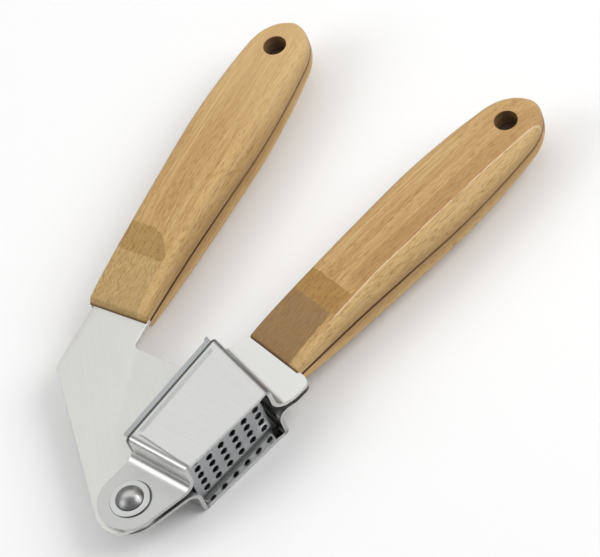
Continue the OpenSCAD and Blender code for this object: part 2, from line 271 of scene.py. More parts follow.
def sheet_from_outline(name, points, thickness, edge, holes=()):
    """Mesh data of a flat sheet with rounded edges, in millimetres: vertices and faces."""
    curve = bpy.data.curves.new(name, "CURVE")
    curve.dimensions = "2D"
    curve.fill_mode = "BOTH"
    curve.extrude = thickness / 2 - edge
    curve.bevel_depth = edge
    curve.offset = -edge
    curve.bevel_resolution = 2
    for loop in [points, *holes]:
        spline = curve.splines.new("POLY")
        spline.points.add(len(loop) - 1)
        for point, (x, y) in zip(spline.points, loop):
            point.co = (x, y, 0, 1)
        spline.use_cyclic_u = True
    shape = linked(name, curve)
    bpy.context.view_layer.update()
    mesh = bpy.data.meshes.new_from_object(shape.evaluated_get(bpy.context.evaluated_depsgraph_get()))
    verts = [tuple(v.co) for v in mesh.vertices]
    faces = [tuple(p.vertices) for p in mesh.polygons]
    bpy.data.objects.remove(shape)
    return verts, faces


# ---- materials ----


class Shader:
    """A small helper that adds nodes to a material and wires them by socket name."""

    def __init__(self, name):
        self.material = bpy.data.materials.new(name)
        self.material.use_nodes = True
        self.tree = self.material.node_tree
        self.surface = self.tree.nodes["Principled BSDF"]

    def add(self, kind, inputs=None, **settings):
        node = self.tree.nodes.new("ShaderNode" + kind)
        for key, value in settings.items():
            setattr(node, key, value)
        for key, value in (inputs or {}).items():
            self.feed(node.inputs[key], value)
        return node

    def feed(self, socket, value):
        if isinstance(value, bpy.types.NodeSocket):
            self.tree.links.new(value, socket)
        else:
            socket.default_value = value

    def math(self, operation, a, b=0.0, c=0.0):
        return self.add("Math", {0: a, 1: b, 2: c}, operation=operation).outputs[0]

    def step(self, value, low, high, a=0.0, b=1.0):
        """a below low, b above high, and smooth between."""
        values = {"Value": value, "From Min": low, "From Max": high, "To Min": a, "To Max": b}
        return self.add("MapRange", values, interpolation_type="SMOOTHSTEP").outputs[0]

    def mix(self, share, a, b):
        """Colour a where share is 0, b where it is 1."""
        node = self.add("Mix", data_type="RGBA")
        self.feed(node.inputs["Factor"], share)
        for key, value in (("A", a), ("B", b)):
            socket = next(s for s in node.inputs if s.name == key and s.type == "RGBA")
            self.feed(socket, value)
        return next(s for s in node.outputs if s.type == "RGBA")

    def noise(self, where, detail=2.0, rough=0.5, scale=1.0):
        values = {"Vector": where, "Scale": scale, "Detail": detail, "Roughness": rough}
        return self.add("TexNoise", values).outputs["Fac"]

    def bump(self, height, strength, distance):
        node = self.add("Bump", {"Height": height, "Strength": strength, "Distance": distance})
        return node.outputs["Normal"]

    def local(self, origin, angle, scale):
        """Object coordinates from origin, turned by -angle about Z, in millimetres times scale."""
        place = self.add("TexCoord").outputs["Object"]
        moved = self.add("VectorMath", {0: place, 1: origin}, operation="SUBTRACT").outputs[0]
        values = {"Vector": moved, "Angle": -angle}
        turn = self.add("VectorRotate", values, rotation_type="Z_AXIS").outputs[0]
        sized = self.add("VectorMath", {0: turn, 1: [s / MM for s in scale]}, operation="MULTIPLY")
        return sized.outputs[0]


def rgb(r, g, b):
    """A colour given as it looks on screen, 11 to 255, as linear light."""
    return (*[((c / 255 + 0.055) / 1.055) ** 2.4 for c in (r, g, b)], 1.0)


def grey(tone, blue=0.0):
    """A neutral shade, as linear light, a little bluer or warmer."""
    return (tone, tone, tone + blue, 1.0)


def scaled(colour, share):
    """A colour made darker or lighter, opaque."""
    return [min(c * share, 1.0) for c in colour[:3]] + [1.0]


def steel(name, tone, roughness, brush_angle, brush, painted_light_and_polish=None):
    """Satin steel with fine brush lines and soft cloudy variation.

    brush is how strong the lines are. The function given last returns the colour, with painted light and
    shade where it paints them, and the share of roughness kept, place by place."""
    s = Shader(name)
    lines = s.noise(s.local(PIVOT, brush_angle, (0.05, 7.0, 7.0)), 4.0, 0.65)
    fine = s.noise(s.local(PIVOT, brush_angle, (0.3, 26.0, 26.0)), 2.0, 0.6)
    clouds = s.noise(s.local(PIVOT, brush_angle, (0.07, 0.1, 0.1)), 3.0, 0.6)
    grain = s.math("ADD", s.math("MULTIPLY", lines, 0.6), s.math("MULTIPLY", fine, 0.4))
    dark = scaled(tone, 1 - 0.07 * brush)
    light = scaled(tone, 1 + 0.06 * brush)
    colour = s.mix(s.step(grain, 0.3, 0.7), dark, light)
    kept = 1.0
    # The function passed in here paints light and shade into the colour and may change the roughness.
    if painted_light_and_polish:
        colour, kept = painted_light_and_polish(s, colour)
    s.feed(s.surface.inputs["Base Color"], colour)
    worn = s.math("MULTIPLY_ADD", clouds, 0.11, roughness - 0.055)
    worn = s.math("MULTIPLY_ADD", grain, 0.12 * brush, worn)
    s.feed(s.surface.inputs["Roughness"], s.math("MULTIPLY", worn, kept))
    s.surface.inputs["Metallic"].default_value = 1.0
    s.feed(s.surface.inputs["Normal"], s.bump(grain, 0.1 * brush, 0.00006))
    return s.material


def distance(s, x, y):
    """Distance of a place from the point where x and y are 0."""
    return s.math("SQRT", s.math("ADD", s.math("MULTIPLY", x, x), s.math("MULTIPLY", y, y)))


def axes_at(s, angle=0.0):
    """X, Y and Z in millimetres from the pivot, turned by -angle, and the distance from its axis."""
    x, y, z = s.add("SeparateXYZ", {0: s.local(PIVOT, angle, (1.0, 1.0, 1.0))}).outputs
    return x, y, z, distance(s, x, y)


def between(s, value, low, high, soft):
    """1 between low and high, 0 outside them."""
    rise, fall = s.step(value, low - soft, low), s.step(value, high, high + soft, 1.0, 0.0)
    return s.math("MULTIPLY", rise, fall)


def sieve_painted_shade(s, colour):
    """Painted shade: darker inside the sieve, where no light reaches."""
    _, y, z, _ = axes_at(s, SIEVE_TILT)
    deep = s.math("LESS_THAN", s.math("ABSOLUTE", z), LINER_HALF - 0.6 * LINER_T)
    deep = s.math("MULTIPLY", deep, s.math("GREATER_THAN", y, 0.5 * LINER_T - SIEVE_DROP - 0.3))
    return s.mix(deep, colour, grey(0.1, 0.005)), 1.0


def mouth_painted_shade(s, x, y, side):
    """Painted shade: the dark line along the hopper's mouth edge."""
    rise = s.math("MULTIPLY_ADD", s.math("SUBTRACT", x, NEAR_X), math.tan(MOUTH_TILT), MOUTH_Y)
    edge = s.step(s.math("SUBTRACT", rise, y), 0.75, 1.3, 1.0, 0.0)
    rim = s.math("MULTIPLY", edge, s.step(side, EAR_Z + 2, EAR_Z + 4))
    return s.math("MULTIPLY", rim, 0.85)


def ring_outer_painted_shade(s, x, y, radius):
    """Painted shade: the dark line round the ring where it sits on the ear, wider towards the sieve and the
    basket grip.
    """
    wider = s.math("MAXIMUM", s.math("MULTIPLY", s.math("SUBTRACT", x, y), 0.05), 0.0)
    reach = s.math("SUBTRACT", radius, wider)
    return s.math("MULTIPLY", between(s, reach, RING_D / 2 - 0.6, RING_D / 2 + 0.06, 0.12),
                  s.step(radius, RING_D / 2 - 0.12, RING_D / 2, 0.0, 0.85))


def bend_painted_shade(s, x, y, side):
    """Painted shade: the dark lines along the hopper's upright bends."""
    near = s.math("SUBTRACT", s.math("MULTIPLY_ADD", y, math.tan(NEAR_TILT), x), NEAR_X)
    far = s.math("SUBTRACT", s.math("MULTIPLY_ADD", y, math.tan(FAR_TILT), FAR_X), x)
    lines = s.math("MAXIMUM", s.math("MULTIPLY", between(s, near, 1.35, 1.75, 0.45), 0.5),
                   s.math("MULTIPLY", between(s, far, 0.2, 1.3, 0.5), 0.45))
    return s.math("MULTIPLY", lines, s.step(side, HALF - 2.2, HALF - 1.0))


def lip_inside(s, x, y, side):
    """1 on the inner face of the lip that stands below the sieve."""
    under = s.math("MULTIPLY", s.math("LESS_THAN", side, HALF - PANEL_DIP - SHELL_T / 2),
                   s.math("LESS_THAN", y, 1.0 - SIEVE_DROP))
    return s.math("MULTIPLY", under, between(s, x, NEAR_X + 2.4, FAR_X - 2.0, 0.05))


def shell_painted_light_and_polish(s, colour):
    """Painted shade on the ears, painted light on the tangs, painted shade as dark lines at mouth, bends and
    ring, and a polished inside of the lip.
    """
    x, y, z, radius = axes_at(s)
    side = s.math("ABSOLUTE", z)
    # Painted shade darkens the ears, and painted light brightens the tangs.
    colour = s.mix(s.step(x, NEAR_X + 0.6, NEAR_X + 3.0, EAR_PAINTED_SHADE, 0.0), colour, grey(0.0))
    colour = s.mix(s.step(x, FAR_X - 1.5, FAR_X + 1.5, 0.0, TANG_PAINTED_LIGHT), colour, (0.8, 0.8, 0.76, 1.0))
    # Painted shade: dark lines at the mouth, along the bends and round the ring.
    lines = s.math("MAXIMUM", mouth_painted_shade(s, x, y, side), ring_outer_painted_shade(s, x, y, radius))
    lines = s.math("MAXIMUM", lines, bend_painted_shade(s, x, y, side))
    colour = s.mix(lines, colour, (0.05, 0.048, 0.055, 1.0))
    inside = lip_inside(s, x, y, side)
    colour = s.mix(s.math("MULTIPLY", inside, 0.06), colour, (0.2, 0.17, 0.18, 1.0))
    return colour, s.step(inside, 0.0, 1.0, 1.0, 0.35)


def dome_painted_reflection(s, colour):
    """Painted dark reflection: darker towards the rim of the head and on the half away from the grips."""
    x, y, _, radius = axes_at(s)
    low = s.math("MULTIPLY", s.math("ADD", x, y), -0.7)
    rim = s.step(radius, 1.6, DOME_D / 2, 0.0, 0.5)
    painted_dark = s.math("MAXIMUM", rim, s.step(low, 0.1, 1.3, 0.0, 0.6))
    return s.mix(painted_dark, colour, grey(0.09, 0.01)), 1.0


def ring_inner_painted_shade(s, colour):
    """Painted shade: a dark line along the ring's inner edge, where it meets the head."""
    radius = axes_at(s)[3]
    plain = between(s, radius, DOME_D / 2 + 0.25, RING_D, 0.15)
    return s.mix(plain, grey(0.07, 0.005), colour), 1.0


def tinted_strips(s, colour, x, across, strips):
    """Bands along the grip. Each is (low, high, soft, start, tint, strength) and runs on from its start."""
    for low, high, soft, start, tint, strength in strips:
        begun = s.step(x, start, start + 8.0, 0.0, strength)
        colour = s.mix(s.math("MULTIPLY", between(s, across, low, high, soft), begun), colour, tint)
    return colour


def block_share(s, y, place, ridge, start, end, arch, low):
    """1 inside a block of the wood, with soft ends."""
    lower = s.math("MAXIMUM", s.math("MULTIPLY_ADD", y, -0.11, 0.22), 0.0)
    far = s.math("MULTIPLY_ADD", s.math("MULTIPLY", lower, lower), arch, place)
    ends = s.math("MULTIPLY", s.step(place, start - 0.15, start + 0.15),
                  s.step(far, end - 0.15, end + 0.15, 1.0, 0.0))
    return s.math("MULTIPLY", ends, s.step(ridge, low - 0.3, low + 0.3))


def wood_marks(s, colour, fibre, dashes, spots):
    """Darker dashes, spots and fibres."""
    colour = s.mix(s.math("MULTIPLY", dashes, 0.55), colour, rgb(134, 94, 48))
    colour = s.mix(s.math("MULTIPLY", spots, 0.6), colour, rgb(126, 84, 40))
    return s.mix(s.step(fibre, 0.5, 0.68, 0.0, 0.3), colour, rgb(160, 119, 66))


def wood_painted_shade_and_seam(s, colour, x, y, side, sheet):
    """Painted shade low on the sides, a painted contact shadow where the end meets the metal, painted shade
    in the hanging hole, and a dark joint at the seam.
    """
    # Painted shade low on the sides, near the metal between the scales.
    lifted = s.math("ADD", side, s.math("MAXIMUM", s.math("MULTIPLY_ADD", x, -0.2, 4.0), 0.0))
    colour = s.mix(s.step(lifted, 1.5, 4.6, 0.45, 0.0), colour, rgb(140, 100, 48))
    # Painted contact shadow where the end meets the metal.
    end = s.math("SUBTRACT", s.math("ADD", x, START_BACK), s.math("MULTIPLY", side, START_SLANT))
    contact = s.step(side, sheet + 0.2, sheet + 0.9, 0.85, 0.0)
    contact = s.math("MULTIPLY", s.step(end, 0.1, 0.35, 1.0, 0.0), contact)
    colour = s.mix(contact, colour, rgb(84, 56, 36))
    # Painted shade inside the hanging hole.
    bore = distance(s, s.math("SUBTRACT", x, HANG_X), y)
    colour = s.mix(s.step(bore, HANG_D / 2 + 0.02, HANG_D / 2 + 0.2, 0.75, 0.0), colour, rgb(80, 50, 30))
    seam = s.math("MULTIPLY", s.step(side, 0.38, 0.68, 1.0, 0.0), s.step(x, 25.0, 75.0, 0.93, 0.6))
    return s.mix(seam, colour, rgb(68, 38, 16))


def bamboo(name, origin, angle, blocks, seed, sheet, tip_light, strips):
    """Laminated bamboo: fibre streaks along the grip, strips side by side, blocks end to end.

    blocks is a list of (start, end, arch, low, tint, speckle): where a block starts and ends along the
    grip, how far its end arches back towards the lower side, and where it stops short of that side.
    sheet is half the thickness of the metal between the scales, and tip_light how pale the tip is."""
    s = Shader(name)
    x, y, z = s.add("SeparateXYZ", {0: s.local(origin, angle, (1.0, 1.0, 1.0))}).outputs
    side = s.math("ABSOLUTE", z)
    shift = (origin[0] + seed * 7.3 * MM, origin[1] + seed * 3.1 * MM, origin[2])

    def grain(along, across, detail=2.0, rough=0.5):
        return s.noise(s.local(shift, angle, (along, across, across)), detail, rough)

    long_fibre, fibre = grain(0.018, 1.5, 5.0, 0.62), grain(0.11, 3.4, 3.0, 0.6)
    dash, soft = grain(0.32, 2.9, 1.5), grain(0.02, 0.14)
    wave = s.math("MULTIPLY", s.math("SUBTRACT", grain(0.3, 0.5), 0.5), 1.2)
    drift = s.math("MULTIPLY_ADD", grain(0.03, 0.2), 1.6, -0.8)
    colour = s.mix(s.step(long_fibre, 0.33, 0.68), rgb(180, 143, 90), rgb(206, 173, 121))
    colour = s.mix(s.step(soft, 0.35, 0.65, 0.0, 0.55), colour, rgb(190, 153, 97))
    colour = tinted_strips(s, colour, x, s.math("ADD", y, drift), strips)
    place, ridge, speckles = s.math("ADD", x, wave), s.math("ADD", y, wave), 0.0
    for start, end, arch, low, tint, speckle in blocks:
        inside = block_share(s, y, place, ridge, start, end, arch, low)
        tinted = s.mix(s.step(long_fibre, 0.3, 0.7), scaled(tint, 0.86), scaled(tint, 1.12))
        colour = s.mix(inside, colour, tinted)
        speckles = s.math("MULTIPLY_ADD", inside, speckle, speckles)
    cells = {"Vector": s.local(shift, angle, (0.55, 1.25, 1.25)), "Scale": 1.0, "Randomness": 1.0}
    dots = s.add("TexVoronoi", cells, feature="F1").outputs["Distance"]
    spots = s.math("MULTIPLY", s.step(dots, 0.1, 0.34, 1.0, 0.0), speckles)
    dashes = s.math("MULTIPLY", s.step(dash, 0.53, 0.63), s.step(soft, 0.3, 0.6, 0.35, 0.9))
    colour = wood_marks(s, colour, fibre, dashes, spots)
    colour = s.mix(s.step(x, 50.0, 108.0, 0.0, tip_light), colour, rgb(222, 190, 140))
    s.feed(s.surface.inputs["Base Color"], wood_painted_shade_and_seam(s, colour, x, y, side, sheet))
    s.feed(s.surface.inputs["Roughness"], s.math("MULTIPLY_ADD", fibre, 0.2, 0.36))
    s.surface.inputs["Specular IOR Level"].default_value = 0.25
    height = s.math("SUBTRACT", s.math("MULTIPLY", long_fibre, 0.5), s.math("MULTIPLY", dashes, 0.35))
    s.feed(s.surface.inputs["Normal"], s.bump(height, 0.35, 0.00012))
    return s.material


def press_grip_place():
    """Start of the press lever's grip at rest, and its direction."""
    start = turned((PRESS_GRIP_X, PRESS_GRIP_Y, 0), REST_OPEN)
    return PIVOT + start * MM, GRIP_TILT + REST_OPEN


BASKET_GRIP_AT = (PIVOT + Vector((GRIP_X, GRIP_Y, 0)) * MM, GRIP_TILT)
PRESS_GRIP_AT = press_grip_place()

PLATE_STEEL = steel("plate_steel", (0.66, 0.66, 0.635), 0.42, REST_OPEN + math.radians(40), 0.8)
SHELL_STEEL = steel("shell_steel", (0.61, 0.61, 0.6), 0.3, math.radians(100), 0.9, painted_light_and_polish=shell_painted_light_and_polish)
SIEVE_STEEL = steel("sieve_steel", (0.42, 0.43, 0.44), 0.36, 0.0, 0.6, painted_light_and_polish=sieve_painted_shade)
RIVET_STEEL = steel("rivet_steel", (0.5, 0.495, 0.48), 0.33, 0.3, 0.5, painted_light_and_polish=dome_painted_reflection)
RING_STEEL = steel("ring_steel", (0.56, 0.57, 0.56), 0.36, 0.2, 0.5, painted_light_and_polish=ring_inner_painted_shade)
BASKET_BAMBOO = bamboo("basket_bamboo", *BASKET_GRIP_AT, [
    (-5.0, 19.6, 0.0, -6.4, rgb(147, 116, 76), 0.25),
    (19.6, 27.5, 0.0, -7.0, rgb(166, 129, 72), 1.0)], 1, EAR_Z, 0.12, [
    (-6.6, -2.6, 0.9, 26.0, rgb(166, 127, 78), 0.55),
    (2.0, 3.4, 0.8, 20.0, rgb(170, 132, 82), 0.35),
    (-12.5, -8.0, 0.25, -20.0, rgb(207, 174, 121), 0.6),
    (-7.5, -7.0, 0.2, 14.0, rgb(172, 122, 78), 0.6),
    # The near-white band below is a painted highlight where the side starts to round off.
    (-7.95, -7.6, 0.15, 14.0, rgb(226, 202, 164), 0.75)])
PRESS_BAMBOO = bamboo("press_bamboo", *PRESS_GRIP_AT, [
    (-5.0, 17.8, 0.0, -6.4, rgb(187, 156, 104), 0.35),
    (17.8, 27.4, 8.5, -6.6, rgb(170, 137, 83), 1.0)], 2, PLATE_T / 2, 0.4, [
    (-0.5, 3.5, 2.0, 26.0, rgb(176, 138, 84), 0.35),
    (-8.6, -7.0, 0.5, -20.0, rgb(208, 174, 118), 0.55)])


# ---- hopper shells: one sheet folded in an S at each end of the hopper ----

EAR_COLUMNS, PANEL_COLUMNS, TANG_COLUMNS, TONGUE_COLUMNS = 26, 80, 14, 12
ROWS, ROLL_ROWS, FOLD_STEPS = 46, 8, 10
EDGE_STEP = 0.01


def shell_outline():
    """The shell's plan: ear, hopper, tang and the tongue inside the grip."""
    lip_x = near_at(-SIEVE_DROP - LIP)
    lip_near = Vector((lip_x, lip_at(lip_x)))
    slope = math.atan2(lip_near.y, lip_near.x) + math.asin(EAR_R / lip_near.length)
    ear_corner = -EAR_R * (1 + math.sin(slope)) / math.cos(slope)
    tang_low = lip_at(FAR_X) - 1.7
    return outline([
        (-EAR_R, EAR_R, EAR_R * 0.98),
        (NEAR_X - 1, MOUTH_Y + 0.1, 0),
        (far_at(mouth_at(FAR_X)) + 0.4, mouth_at(FAR_X + 1.9), 0),
        (FAR_X + 3.6, mouth_at(FAR_X) + 0.3, 0.8),
        (SHOULDER_X, GRIP_Y + GRIP_W0 + 0.3, 0),
        (SHOULDER_X + 0.01, GRIP_Y + TONGUE_HALF, 0),
        (TONGUE_X, GRIP_Y + TONGUE_HALF + TONGUE_DROP, 3),
        (TONGUE_X, GRIP_Y - TONGUE_HALF + TONGUE_DROP, 3),
        (SHOULDER_X + 0.01, GRIP_Y - TONGUE_HALF, 0),
        (SHOULDER_X, tang_low, 2.6),
        (FAR_X + 4, tang_low, 3),
        (far_at(lip_at(FAR_X)) - 1.5, lip_at(FAR_X), 0),
        (lip_near.x, lip_near.y, 3),
        (-EAR_R, ear_corner, EAR_R * 0.98)], 20)


def fold_section():
    """Stations across a fold, from the low sheet up to the high one: (u, z) outside and (u, z) inside."""
    foot = (-FOOT_R, EAR_Z + FOOT_R)
    top = (SHOULDER_R, HALF - SHOULDER_R)
    n = FOLD_STEPS
    outer = arc(foot, FOOT_R, -90, 0, n) + arc(top, SHOULDER_R, 180, 90, n)
    inner = arc(foot, FOOT_R + SHELL_T, -90, 0, n) + arc(top, SHOULDER_R - SHELL_T, 180, 90, n)
    wall = [((0, lerp(outer[n][1], outer[n + 1][1], t)), (SHELL_T, lerp(inner[n][1], inner[n + 1][1], t)))
            for t in (0.33, 0.67)]
    pairs = list(zip(outer, inner))
    return pairs[:n + 1] + wall + pairs[n + 1:]


def flat_columns(start, end, z, count, first=0, spread=lambda t: t):
    """Columns of a flat part between two lines (a, lean), without the line at its end."""
    columns = []
    for i in range(first, count):
        t = spread(i / count)
        a, lean = lerp(start[0], end[0], t), lerp(start[1], end[1], t)
        columns.append(((a, lean, z), (a, lean, z - SHELL_T)))
    return columns


def fold_columns(x, tilt, lean, turn):
    """Columns of a fold at x, with its sections laid along X (turn 1) or against it (turn -1)."""
    def at(u):
        return x + turn * (u / math.cos(tilt))

    return [((at(o[0]), lean, o[1]), (at(i[0]), lean, i[1])) for o, i in fold_section()]


def shell_columns():
    """Lines across the plan, x = a - y * lean, each (a, lean, z) of the outer and of the inner face."""
    def across(x):
        return ((x, 0, EAR_Z), (x, 0, EAR_Z - SHELL_T))

    near_lean, far_lean = math.tan(NEAR_TILT), -math.tan(FAR_TILT)
    near = fold_columns(NEAR_X, NEAR_TILT, near_lean, 1)
    far = fold_columns(FAR_X, FAR_TILT, far_lean, -1)[::-1]
    ear = flat_columns((-EAR_R + EDGE_STEP, 0), (near[0][0][0], near_lean), EAR_Z, EAR_COLUMNS,
                       spread=lambda t: t ** 1.8)
    panel = flat_columns((near[-1][0][0], near_lean), (far[0][0][0], far_lean), HALF, PANEL_COLUMNS, 1)
    tang = flat_columns((far[-1][0][0], far_lean), (SHOULDER_X - EDGE_STEP, 0), EAR_Z, TANG_COLUMNS, 1)
    tongue = flat_columns((GRIP_X + 4, 0), (TONGUE_X - EDGE_STEP, 0), EAR_Z, TONGUE_COLUMNS,
                          spread=lambda t: 1 - (1 - t) ** 2)
    step = [across(SHOULDER_X - EDGE_STEP / 2), across(SHOULDER_X + 2 * EDGE_STEP)]
    return ear + near + panel + far + tang + step + tongue + [across(TONGUE_X - EDGE_STEP)]


def column_ends(a, lean, loop):
    """Lowest and highest y where the line x = a - y * lean crosses the outline."""
    found = []
    for (x0, y0), (x1, y1) in zip(loop, loop[1:] + loop[:1]):
        d0, d1 = x0 + y0 * lean - a, x1 + y1 * lean - a
        if (d0 <= 0) != (d1 <= 0):
            found.append(lerp(y0, y1, d0 / (d0 - d1)))
    return min(found), max(found)


def panel_dip(x, y):
    """How far the pressed panel lies below the rim, sloping down over a little way at each edge."""
    down = smooth((mouth_at(x) - y) / (mouth_at(x) - lip_at(x)))
    near = (x - near_at(y) - SHOULDER_R - lerp(0.9, -0.5, down)) / 1.1
    far = (far_at(y) - SHOULDER_R + 0.2 - x) / 3.2
    mouth = (mouth_at(x) - RIM_W + 0.5 - y) / 1.5
    return PANEL_DIP * smooth(near) * smooth(far) * smooth(mouth)


def mouth_roll(x, y):
    """How far the sheet curls down at the mouth's edge."""
    radius, reach = 1.2, 0.95
    u = min(max(reach - (mouth_at(x) - y), 0), reach)
    return radius - math.sqrt(radius ** 2 - u ** 2)


def row_places(length):
    """Shares of a column's length: even, but close together in the last stretch, the roll at the mouth."""
    fine = min(1.2 / length, 0.15)
    even = [(1 - fine) * k / ROWS for k in range(ROWS)]
    return even + [1 - fine + fine * k / ROLL_ROWS for k in range(ROLL_ROWS + 1)]


def shell_point(x, y, z, side):
    """A point of the sheet, lowered by the pressed panel and the roll where it is on top of the hopper."""
    on_top = smooth((z - EAR_Z) / (HALF - SHELL_T - EAR_Z) * 2 - 1)
    return (x, y, side * (z - on_top * (panel_dip(x, y) + mouth_roll(x, y))))


def shell(side):
    """Points and faces of a whole shell, from its outer and inner faces' grids."""
    loop, columns, rows = shell_outline(), shell_columns(), ROWS + ROLL_ROWS
    verts = []
    for face in (0, 1):
        for column in columns:
            a, lean, z = column[face]
            low, high = column_ends(a, lean, loop)
            for share in row_places(high - low):
                y = lerp(low, high, share)
                verts.append(shell_point(a - y * lean, y, z, side))
    n = len(columns)

    def at(face, i, k):
        return (face * n + i) * (rows + 1) + k

    faces = []
    for i in range(n - 1):
        for k in range(rows):
            faces.append((at(0, i, k), at(0, i + 1, k), at(0, i + 1, k + 1), at(0, i, k + 1)))
            faces.append((at(1, i, k), at(1, i, k + 1), at(1, i + 1, k + 1), at(1, i + 1, k)))
        for k in (0, rows):
            faces.append((at(0, i, k), at(0, i + 1, k), at(1, i + 1, k), at(1, i, k)))
    for i in (0, n - 1):
        for k in range(rows):
            faces.append((at(0, i, k), at(1, i, k), at(1, i, k + 1), at(0, i, k + 1)))
    return verts, faces


def rivet_hole_tool():
    """Cutter of the rivet's hole, longer than the press is deep."""
    verts, faces = lathe([(PIN_D / 2, -20), (PIN_D / 2, 20)], 64)
    return scratch_object("pin_tool", [PIVOT + Vector(v) * MM for v in verts], faces)


def hopper_shell(label, side):
    verts, faces = shell(side)
    piece = make(f"{label}_shell_sheet", verts, faces, SHELL_STEEL,
                 f"{label}_shell", "basket_lever", sharp=50)
    cut(piece, rivet_hole_tool(), 50)
    soften(piece, 0.18, 60, 50)


for label, side in SIDES:
    hopper_shell(label, side)


# ---- sieve liner ----


def channel(half_width, thickness, radius, steps):
    """Outer and inner outline (z, height) of an upright channel's folds. trough() adds its two tops."""
    loops = []
    for r in (radius, radius - thickness):
        left = arc((radius - half_width, radius), r, 180, 270, steps)
        right = arc((half_width - radius, radius), r, 270, 360, steps)
        loops.append(left + right)
    return loops


def on_sieve(x, y, z):
    """From the sieve's own frame, x along it and y up from its outer face, to the pivot's."""
    c, s = math.cos(SIEVE_TILT), math.sin(SIEVE_TILT)
    return (NEAR_X + c * x - s * y, -SIEVE_DROP + s * x + c * y, z)


def trough(half_width, thickness, radius, stations):
    """A channel through stations along the sieve, each (place(height, z), height of its top)."""
    outer, inner = channel(half_width, thickness, radius, 8)
    outer = [(-half_width, None)] + outer + [(half_width, None)]
    inner = [(thickness - half_width, None)] + inner + [(half_width - thickness, None)]
    n = len(outer)
    verts, faces = [], []
    for place, top in stations:
        for loop in (outer, inner):
            verts += [place(top if y is None else y, z) for z, y in loop]
    for k in range(len(stations) - 1):
        o0, i0 = 2 * n * k, 2 * n * k + n
        o1, i1 = o0 + 2 * n, i0 + 2 * n
        for i in range(n - 1):
            faces.append((o0 + i, o1 + i, o1 + i + 1, o0 + i + 1))
            faces.append((i0 + i, i0 + i + 1, i1 + i + 1, i1 + i))
        for i in (0, n - 1):
            faces.append((o0 + i, i0 + i, i1 + i, o1 + i))
    for o0 in (0, 2 * n * (len(stations) - 1)):
        faces += [(o0 + i, o0 + i + 1, o0 + n + i + 1, o0 + n + i) for i in range(n - 1)]
    return verts, faces


def liner_near(y):
    """Where the liner's near end stands at a height y."""
    return near_at(y) + SHELL_T / math.cos(NEAR_TILT) + WALL_GAP


def liner_far(y):
    """The far end leans in below the mouth and out a little over it."""
    lean_in = 1.6 * (MOUTH_Y - y) / (MOUTH_Y + SIEVE_DROP + 1)
    return far_at(y) - SHELL_T / math.cos(FAR_TILT) - WALL_GAP - max(lean_in, -0.3)


def upright(x_at):
    """Places points at a height over the sieve, on the line x = x_at(y)."""
    def place(height, z):
        x = x_at(0)
        for _ in range(4):
            y = sieve_at(x) + height
            x = x_at(y)
        return (x, y, z)
    return place


def hole_places():
    """Centres (x, z) of the sieve's holes on its floor."""
    pitch_x = (PUNCH_LEN - 2 * HOLE_END) / (HOLE_COLS - 1)
    pitch_z = 2 * (LINER_HALF - LINER_BEND - HOLE_SIDE - HOLE_D / 2) / (HOLE_ROWS - 1)
    return [(PUNCH_START + HOLE_END + pitch_x * i, (j - (HOLE_ROWS - 1) / 2) * pitch_z)
            for i in range(HOLE_COLS) for j in range(HOLE_ROWS)]


def punch_tool():
    """Every hole's cutter in one mesh: straight, and flared a little at both faces."""
    r, flare, past = HOLE_D / 2, 0.1, 0.25
    wide = r + flare + past
    profile = [(wide, -past), (r, flare), (r, LINER_T - flare), (wide, LINER_T + past)]
    unit_verts, unit_faces = lathe(profile, 32)
    verts, faces = [], []
    for x, z in hole_places():
        base = len(verts)
        verts += [PIVOT + Vector(on_sieve(x + p[0], p[2], z + p[1])) * MM for p in unit_verts]
        faces += [tuple(base + k for k in f) for f in unit_faces]
    return scratch_object("punch_tool", verts, faces)


def sieve_liner():
    """The folded channel, with a small hook at the far end of its walls' tops."""
    near_top = MOUTH_Y + SIEVE_DROP + LINER_PROUD
    far_top = mouth_at(FAR_X) - sieve_at(FAR_X) + LINER_PROUD
    hook, hook_len = 0.7, 1.2
    stations = [(upright(liner_near), near_top),
                (upright(lambda y: liner_far(y) - hook_len - 0.2), far_top - 0.1),
                (upright(lambda y: liner_far(y) - hook_len), far_top + hook - 0.1),
                (upright(liner_far), far_top + hook - 0.1)]
    verts, faces = trough(LINER_HALF, LINER_T, LINER_BEND, stations)
    piece = make("sieve_liner_sheet", verts, faces, SIEVE_STEEL,
                 "sieve_liner", "basket_lever")
    soften(piece, 0.15)
    cut(piece, punch_tool())


sieve_liner()


# ---- press lever: pan and plate ----


def presser_pan():
    """The channel that fills the hopper when the press is shut."""
    floor = LINER_T + PRESS_GAP
    ends = [lambda y, z, x=x: on_sieve(x, y + floor, z) for x in (PAN_X0, PAN_X1)]
    verts, faces = trough(PAN_HALF, PAN_T, PAN_T * 1.8, [(end, PAN_WALL) for end in ends])
    piece = make("presser_pan_sheet", verts, faces, PLATE_STEEL,
                 "presser_pan", "press_lever", True)
    soften(piece, 0.2)


